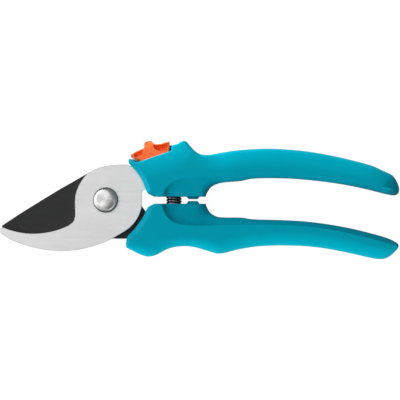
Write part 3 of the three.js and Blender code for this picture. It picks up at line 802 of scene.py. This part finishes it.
# The pockets are a little wider than the tangs in them.
upper_pocket = plate([[
    (8, 4.3), (18.2, 4.3), (20, 5.2), (29, 9.5), (61.3, 11.9), (61.3, 19.1), (24, 17.3), (14.5, 16.7),
    (11.2, 17.9), (8, 17.9),
]], -PAST_MIDDLE, BLADE_OUTER + 0.3)
lower_pocket = plate([[
    (8, -19.7), (10.4, -19.7), (26, -19.9), (61.3, -21.1), (61.3, -13.9), (29, -11.3), (23, -8.1),
    (19.6, -4.9), (8, -4.9),
]], -BLADE_OUTER - 0.3, PAST_MIDDLE)
channel = plate([[
    (9, 18.9), (17.4, 18.9), (17.4, on_track(0.7, -2.3)[1]), on_track(22.8, -2.3), (36.9, 27), (36.9, 40),
    (9, 40),
]], -CHANNEL_HALF, CHANNEL_HALF)
grooves = plate([track_box(2.6, 20.2, -2.3, -0.6)], -GROOVE_HALF, GROOVE_HALF)
catch_room = plate([[
    (8, 10.6), (17, 13.2), (30.5, 18.2), (30.5, 24.4), (18.6, 24.4), (18.6, 18.6), (14, 17.2), (8, 14.4),
]], CATCH_LOW - CATCH_ROOM, PAST_MIDDLE)
leaf_seat = plate([track_box(8.6, 16.4, -4, -2)], -5.05, -3.55)

upper_lug = loop([(40.4, 3), (40.4, 1.6), (41.6, 0.4), (46, 0.4), (47, 1.6), (47, 3)])
lower_lug = loop([(40.4, -3), (47, -3), (47, -1.9), (46, -0.5), (41.4, -0.5), (40.4, -1.9)])

shells = {"upper": [], "lower": []}
for rear in (False, True):
    face = "rear" if rear else "front"
    piece = shell(
        f"upper_handle_{face}", [UPPER_FRONT, *UPPER_UNDER, *UPPER_RAIL[face]], UPPER_CREASES, UPPER_CROWN,
        rear,
        [channel, grooves, spring_well(-3, 8.2), *([catch_room, leaf_seat] if rear else [upper_pocket]),
         *screw_holes(UPPER_SCREWS, rear)],
        upper_lug,
    )
    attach(piece, "upper_lever")
    shells["upper"].append(piece)
    piece = shell(
        f"lower_handle_{face}", LOWER_RUNS, LOWER_CREASES, LOWER_CROWN, rear,
        [spring_well(-8.4, 3), *([lower_pocket] if rear else []), *screw_holes(LOWER_SCREWS, rear)],
        lower_lug,
    )
    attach(piece, "lower_lever")
    shells["lower"].append(piece)


# ---------------------------------------------------------------- blades
BOLT_HOLE = 4.1
THROUGH = 5               # half the depth of a cutter that goes through a blade


def finish(obj, node, body):
    """Puts a piece in its CAD node's place."""
    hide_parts(node)
    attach(obj, body)


hook_outline = loop(
    [(-52.9, -14.4), (-52.75, -15.8)],
    spline([
        (-52.2, -16.9), (-48.6, -19.2), (-44.8, -21), (-37.2, -23.5), (-29.4, -25), (-21.5, -25.5),
        (-13.5, -24.8), (-9.7, -24), (-5.8, -22.9), (1.6, -20.1), (8.8, -16.1),
    ]),
    arc(18.3, -56, -12),
    spline([(18.1, -1.5), (18.15, 1.0), (18.1, 3.4)]),
    UPPER_TANG_LOW,
    UPPER_TANG_HIGH,
    spline([
        (9.4, 17.8), (5.4, 17.6), (1.4, 17.2), (-2.5, 16.4), (-6.1, 14.9), (-9.0, 13.4), (-9.7, 12.6),
        (-11.8, 9.9), (-13.5, 6.9), (-14.65, 3.9), (-15.15, 0.9), (-15.25, -2), (-15.2, -5), (-15.2, -7.9),
        (-15.8, -10.3), (-18.1, -12.4), (-22.2, -14.3), (-28.1, -16.0), (-36, -16.8), (-42, -16.35),
        (-47.8, -15.0), (-51.7, -13.5),
    ]),
)
hook_loops = [hook_outline, circle(BOLT_HOLE), circle(SCREW_HOLE, 32, *UPPER_SCREWS[0])]
hook = new_object(
    "hook_blade", *plate(hook_loops, BLADE_GAP, BLADE_OUTER, bevel_high=0.14, bevel_low=0.2),
    BLADE_STEEL, angle=28,
)
finish(hook, "hook_blade", "upper_lever")

CUTTING_EDGE = [
    (-51.9, -13.4), (-49.4, -15.1), (-46.5, -16.8), (-42.5, -18.4), (-38, -19.4), (-29, -20.4),
    (-20, -19.8), (-13, -17.8), (-8, -17.6),
]
cutting_outline = loop(
    spline(CUTTING_EDGE),
    spline([(-8, -17.6), (-2, -18.6), (4, -19.3), (10.4, -19.4)]),
    LOWER_TANG_LOW,
    LOWER_TANG_HIGH,
    [(17.6, -2.4)],
    arc(15.9, -2, 117),
    spline([(-9.2, 13.3), (-15.1, 9.9), (-24, 4.8), (-34, -1.3), (-43, -6.9), (-51.9, -12.8)]),
)
GRIND_NARROW, GRIND_WIDE = 0.4, 5.0       # the grind's width at its two ends and in between
GRIND_START, GRIND_END = -52, -8.5        # in x
EDGE_LAND = 0.42                          # the steel left at the cutting edge
RIM_CHAMFER = 0.25


def cutter_height(points):
    """The blade's rear face, measured backwards: full over the body, ground away towards the edge."""
    dist, _, _ = nearest(points, spline(CUTTING_EDGE))
    x = points[:, 0]
    share = np.clip((x - GRIND_START) / 9, 0, 1) * np.clip((GRIND_END - x) / 6, 0, 1)
    wide = GRIND_NARROW + (GRIND_WIDE - GRIND_NARROW) * share * (2 - share)
    t = np.clip(1 - dist / wide, 0, 1)
    ground = (BLADE_THICK - EDGE_LAND) * t**0.85 * np.minimum(1, share * 6)
    rim, _, _ = nearest(points, np.vstack([cutting_outline, cutting_outline[:1]]))
    return BLADE_OUTER - np.maximum(ground, RIM_CHAMFER * np.clip(1 - rim / RIM_CHAMFER, 0, 1))


CUTTER_RINGS = (0.12, 0.25, 0.6, 1.2, 2.0, 3.0, 4.0, 5.0, 5.3)
verts, faces = relief(cutting_outline, cutter_height, BLADE_GAP, 1.6, CUTTER_RINGS, seam=0.22)
cutter = new_object("cutting_blade", [(x, y, -z) for x, y, z in verts], faces, BLACK)
# The notch that the lock's catch enters.
turn = Matrix.Rotation(math.radians(50), 2)
notch = [tuple(turn @ Vector(p)) for p in ((14.1, -1.9), (17.7, -1.9), (17.7, 1.9), (14.1, 1.9))]
boolean(cutter, [
    plate([notch], -THROUGH, THROUGH),
    drilled(BOLT_HOLE, -THROUGH, THROUGH, 0, 0),
    drilled(SCREW_HOLE, -THROUGH, THROUGH, *LOWER_SCREWS[0]),
])
finish(cutter, "cutting_blade", "lower_lever")


# ---------------------------------------------------------------- pivot
HEAD_UNDER = 3.45
DOME_RADIUS, DOME_HEIGHT = 5.85, 1.35
SHANK_RADIUS, THREAD_RADIUS = 4.0, 3.0
THREAD_TOP = -3.3
BOLT_END = -8.5
THREAD_PITCH = 1.0
WASHER = (-4.2, -3.4)
LOCK_WASHER = (-5.05, -4.45)
NUT = (-7.9, -5.3)
WASHER_HOLE = 3.15

dome = [
    (DOME_RADIUS * math.cos(a), HEAD_UNDER + 1.25 + DOME_HEIGHT * math.sin(a))
    for a in np.linspace(0, math.pi / 2, 22)[:-1]
]
thread = [
    (THREAD_RADIUS if z > BOLT_END + 0.5 else THREAD_RADIUS - 0.5 + (z - BOLT_END), z)
    for z in np.arange(BOLT_END, THREAD_TOP, 0.1)
]


def thread_form(angle, radius, z):
    """The share of the radius that a turn of thread leaves."""
    if z > THREAD_TOP or radius < 2.4:
        return 1.0
    phase = (z / THREAD_PITCH - angle / (2 * math.pi)) % 1
    return 1 - 0.13 * abs(2 * phase - 1) ** 1.3


bolt_profile = [
    (0, BOLT_END), *thread, (THREAD_RADIUS, THREAD_TOP + 0.05), (SHANK_RADIUS, THREAD_TOP + 0.05),
    (SHANK_RADIUS, HEAD_UNDER), (HEAD_RADIUS - 0.15, HEAD_UNDER), (HEAD_RADIUS, HEAD_UNDER + 0.15),
    (HEAD_RADIUS, HEAD_UNDER + 0.85), *dome, (0, HEAD_UNDER + 2.6),
]
bolt = new_object("pivot_bolt", *lathe(bolt_profile, 96, thread_form), POLISHED, angle=40)
finish(bolt, "pivot_bolt", "upper_lever")


def ring_profile(inner, outer, low, high, edge):
    return [
        (inner, low), (outer - edge, low), (outer, low + edge), (outer, high - edge), (outer - edge, high),
        (inner, high),
    ]


def sweep(sections):
    """Vertices and faces of a solid through equal sections, one after another, with a cap at each end."""
    size = len(sections[0])
    verts = [v for section in sections for v in section]
    faces = [
        (i + k, i + size + k, i + size + (k + 1) % size, i + (k + 1) % size)
        for i in range(0, len(verts) - size, size)
        for k in range(size)
    ]
    faces += [tuple(range(size)), tuple(reversed(range(len(verts) - size, len(verts))))]
    return verts, faces


washer = new_object("pivot_washer", *lathe(ring_profile(WASHER_HOLE, 7.4, *WASHER, 0.12)), PLATED)
finish(washer, "pivot_washer", "upper_lever")

# The lock washer is split, and its ends stand a little apart.
section = ring_profile(WASHER_HOLE, 5.4, -0.25, 0.25, 0.06)
sections = []
for share in np.arange(65) / 64:
    a = math.radians(6 + 348 * share)
    middle = LOCK_WASHER[0] + 0.27 + 0.06 * share
    sections.append([(r * math.cos(a), r * math.sin(a), middle + z) for r, z in section])
lock_washer = new_object("pivot_lock_washer", *sweep(sections), PLATED)
finish(lock_washer, "pivot_lock_washer", "upper_lever")

nut = new_object("pivot_nut", *plate([circle(5.8, 6)], *NUT), PLATED)
low, high = NUT
corners = [(0, low), (4.9, low), (5.9, low + 0.55), (5.9, high - 0.35), (5.3, high), (0, high)]
bore = [(0, low - 1), (4.05, low - 0.6), (3.1, low + 0.35), (3.1, high + 1), (0, high + 1)]
boolean(nut, [lathe(corners, 96)], "INTERSECT")
boolean(nut, [lathe(bore)])
finish(nut, "pivot_nut", "upper_lever")

# ---------------------------------------------------------------- return spring
WIRE_R = 0.6
MEAN_R = 3.3
TURNS = 11
STEPS_A_TURN = 36
low, high = -8.1 + WIRE_R, 7.9 - WIRE_R
pitch = (high - low) / TURNS
wire = circle(1, 14).tolist()

sections = []
for i in range(STEPS_A_TURN * TURNS + 1):
    t = i / (STEPS_A_TURN * TURNS)
    a = 2 * math.pi * TURNS * t
    tangent = Vector((-MEAN_R * math.sin(a), pitch / (2 * math.pi), MEAN_R * math.cos(a))).normalized()
    out = Vector((math.cos(a), 0, math.sin(a)))
    up = tangent.cross(out).normalized()
    centre = Vector((SPRING_X, low + (high - low) * t, 0)) + MEAN_R * out
    sections.append([centre + WIRE_R * (u * out + v * up) for u, v in wire])
spring = new_object("return_spring", *sweep(sections), WIRE_STEEL)
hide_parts("return_spring")
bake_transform(spring)

# ---------------------------------------------------------------- lock
SLIDER_HALF = 5.0
NOTCH_SIDE = np.array([(12.75, 21.5), (15.7, 19.3)])      # the slider's low side, over the handle's notch
slider_outline = loop(
    [(15.7, 19.3), (18, 19.3), on_track(2.6, -2), on_track(14.9, -2), (31.75, 23.9)],
    spline([
        (31.95, 25.2), (32.0, 27.6), (31.95, 28.9), (31.4, 29.2), (30.0, 28.8), (27.9, 28.2), (25.6, 27.9),
        (24.5, 28.0), (23.7, 28.7), (22.9, 29.4), (22.0, 29.6), (20.6, 29.35), (19.6, 28.8), (19.25, 27.9),
        (19.3, 26.7), (18.9, 25.9), (17.2, 25.1), (14.6, 23.9), (13.1, 22.9), (12.6, 22.4), (12.75, 21.5),
        (14.2, 20.4), (15.7, 19.3),
    ], 0.3),
)
# Thumb hollows: each is a closed outline, its depth and the width of its sloping side.
HOLLOWS = [
    (spline([
        (14.0, 22.9), (14.3, 22.0), (15.4, 21.4), (17.0, 21.6), (18.5, 22.5), (19.0, 23.7), (18.5, 25.0),
        (17.2, 24.7), (15.4, 23.9), (14.2, 23.3), (14.0, 22.9),
    ], 0.25)[:-1], 2.8, 1.7),
    (spline([
        (23.6, 27.6), (24.1, 26.2), (25.3, 25.0), (27.2, 24.5), (29.4, 24.75), (31.0, 25.2), (31.4, 26.6),
        (31.4, 28.4), (30.3, 28.5), (28.0, 27.8), (25.8, 27.5), (24.4, 27.7), (23.6, 27.6),
    ], 0.25)[:-1], 3.8, 1.5),
]


def slider_height(points):
    rim, _, _ = nearest(points, np.vstack([slider_outline, slider_outline[:1]]))
    drop = drop_at(rim, 0.5, 0.5, ROUND)
    for hollow, depth, wide in HOLLOWS:
        dist, _, _ = nearest(points, np.vstack([hollow, hollow[:1]]))
        t = np.clip(dist / wide, 0, 1) * inside(points, [hollow])
        drop = drop + depth * (1 - (1 - t) ** 2)
    low_side, _, _ = nearest(points, NOTCH_SIDE)
    drop = drop + drop_at(low_side, 1.3, 2.4, FLAT)
    # The thumb piece between the hollows leans back towards its top.
    lean = np.clip((points[:, 1] - 26.6) / 3.0, 0, 1) * np.clip(1 - np.abs(points[:, 0] - 21.4) / 3.2, 0, 1)
    return SLIDER_HALF - drop - 1.2 * lean


dish_rings = [
    np.vstack([ring, ring[:1]])
    for hollow, _, _ in HOLLOWS
    for ring in (inset(hollow, d) for d in (0.0, 0.3, 0.65, 1.1))
]
SLIDER_RINGS = (0.1, 0.22, 0.4, 0.68)
verts, faces = relief(slider_outline, slider_height, 0.0, 0.55, SLIDER_RINGS, dish_rings, cell=0.08)
slider = new_object("lock_slider", verts, faces, ORANGE)
back = [(x, y, -z if z > 0 else 0.01) for x, y, z in verts], faces
ribs = plate([track_box(3, 14.4, -1.95, -0.9)], -6, 6, 0.2, 0.2)
boolean(slider, [back], "UNION")
boolean(slider, [ribs], "UNION")
catch_slot = plate([track_box(2.7, 7.8, -4, 2.7)], CATCH_LOW - CATCH_ROOM, CATCH_HIGH + CATCH_ROOM)
boolean(slider, [catch_slot])
finish(slider, "lock_slider", "lock")

CATCH = (CATCH_LOW, CATCH_HIGH, 0.15, 0.15)
catch = new_object("lock_catch", *plate([track_box(3, 7.5, -3.4, 2.4)], *CATCH), PLATED)
leg = [
    on_track(3, -2.9), (14.6, 16.5), (9.6, 13.1), (11.3, 11.7), (16.6, 13.8), (24.2, 17.2),
    on_track(7.5, -2.9),
]
boolean(catch, [plate([leg], *CATCH)], "UNION")
finish(catch, "lock_catch", "lock")

LEAF = [(8.9, -3.7), (10.6, -3.1), (12.5, -2.8), (14.4, -3.1), (16.1, -3.7)]
LEAF_THICK = 0.35
leaf_outline = loop(
    spline([on_track(u, v) for u, v in LEAF]),
    spline([on_track(u, v + LEAF_THICK) for u, v in reversed(LEAF)]),
)
leaf = new_object("lock_detent_leaf", *plate([leaf_outline], -4.8, -3.8, 0.05, 0.05), WIRE_STEEL)
finish(leaf, "lock_detent_leaf", "upper_lever")

# ---------------------------------------------------------------- screws
SCREW_TOP = SCREW_SEAT - 2
SCREW_PROFILE = [
    (0, SCREW_TOP), (2.5, SCREW_TOP), (2.78, SCREW_TOP + 0.1), (2.9, SCREW_TOP + 0.35), (2.9, SCREW_SEAT),
    (1.5, SCREW_SEAT), (1.5, 4.6), (0.6, 5.5), (0, 5.5),
]
for lever, places in (("upper", UPPER_SCREWS), ("lower", LOWER_SCREWS)):
    for number, (x, y) in enumerate(places, 1):
        name = f"{lever}_screw_{number}"
        screw = new_object(name, *shifted(lathe(SCREW_PROFILE, 48), x, y), PLATED)
        socket = plate([circle(1.4, 6, x, y)], SCREW_TOP - 1, SCREW_TOP + 1.1)
        boolean(screw, [socket, drilled(1.25, SCREW_TOP - 1, SCREW_TOP + 0.25, x, y)])
        finish(screw, name, f"{lever}_lever")

# ---------------------------------------------------------------- floor, light and camera
FLOOR_Z = cad_low[2] - 0.0002
REACH = 3.0
floor_mesh = bpy.data.meshes.new("floor")
corners = ((-REACH, -REACH), (REACH, -REACH), (REACH, REACH), (-REACH, REACH))
floor_mesh.from_pydata([(x, y, FLOOR_Z) for x, y in corners], [], [(0, 1, 2, 3)])
floor = bpy.data.objects.new("floor", floor_mesh)
bpy.context.scene.collection.objects.link(floor)
white = Nodes("floor_white")
white.link(white.ramp(white.noise(0.02, 2.0), grey(0.25), grey(0.27)), white.shader.inputs["Base Color"])
white.set(Roughness=0.9, Emission_Color=(1, 1, 1, 1), Emission_Strength=0.94)
floor_mesh.materials.append(white.material)
floor.visible_diffuse = False
floor.visible_glossy = False


def softbox(name, direction, distance, size, power, receivers=(), reflected=False):
    """An area light that looks at the object from a direction, and lights all of it or only some pieces.

    A light for some pieces is warmer, and shows in their reflections only on request.
    """
    light = bpy.data.lights.new(name, "AREA")
    light.shape = "RECTANGLE"
    light.size, light.size_y = size
    light.energy = power
    obj = bpy.data.objects.new(name, light)
    bpy.context.scene.collection.objects.link(obj)
    way = Vector(direction).normalized()
    obj.location = way * distance
    obj.rotation_euler = way.to_track_quat("Z", "Y").to_euler()
    obj.visible_camera = False
    if receivers:
        light.color = (1, 1, 0.9)
        obj.visible_glossy = reflected
        lit = bpy.data.collections.new(f"{name}_receivers")
        for receiver in receivers:
            lit.objects.link(receiver)
        obj.light_linking.receiver_collection = lit


softbox("overhead", (-0.2, 0.1, 1), 1.5, (1.3, 1.2), 4.9)
softbox("key", (-0.85, 0.5, 0.75), 1.4, (0.9, 0.45), 6.6)
softbox("left", (-1, -0.1, 0.4), 1.2, (0.8, 0.5), 5.0)
# Each handle's outer side has a low softbox of its own, so that the sides that face each other stay darker.
# The upper handle, the slider and the bolt also have weaker ones.
upper_pieces = [*shells["upper"], slider]
softbox("upper_rim", (-0.6, 1, 0.1), 1.2, (1.0, 0.2), 20, upper_pieces)
softbox("lower_rim", (-0.1, -1, 0.12), 1.2, (1.1, 0.22), 16, shells["lower"])
softbox("upper_fill", (-0.1, -1, 0.12), 1.2, (1.1, 0.22), 4.5, upper_pieces)
softbox("slider_fill", (-0.5, 0.3, 1), 1.2, (0.5, 0.5), 1.5, [slider])
softbox("bolt_left", (-1, 0.1, 1.1), 1.2, (0.15, 0.15), 0.6, [bolt], reflected=True)
softbox("bolt_low", (0.5, -1, 1.1), 1.2, (0.15, 0.15), 0.9, [bolt], reflected=True)

world = bpy.data.worlds.new("studio")
world.use_nodes = True
background = world.node_tree.nodes["Background"]
background.inputs["Color"].default_value = (1, 1, 1, 1)
background.inputs["Strength"].default_value = 0.22
bpy.context.scene.world = world

CAMERA_UP = 3.0
VIEW_WIDE = 0.2           # metres across the picture at the hook blade's front face
VIEW_X = 47.2             # how far past the pivot the picture's centre is
SENSOR = 36
camera_data = bpy.data.cameras.new("camera")
camera_data.sensor_width = SENSOR
camera_data.lens = SENSOR * (CAMERA_UP + cad_high[2] - hook_high.z) / VIEW_WIDE
camera_data.clip_end = 20
camera = bpy.data.objects.new("camera", camera_data)
camera.location = (PIVOT.x + VIEW_X * MM, PIVOT.y, cad_high[2] + CAMERA_UP)
bpy.context.scene.collection.objects.link(camera)
bpy.context.scene.camera = camera
bpy.context.scene.view_settings.view_transform = "Standard"
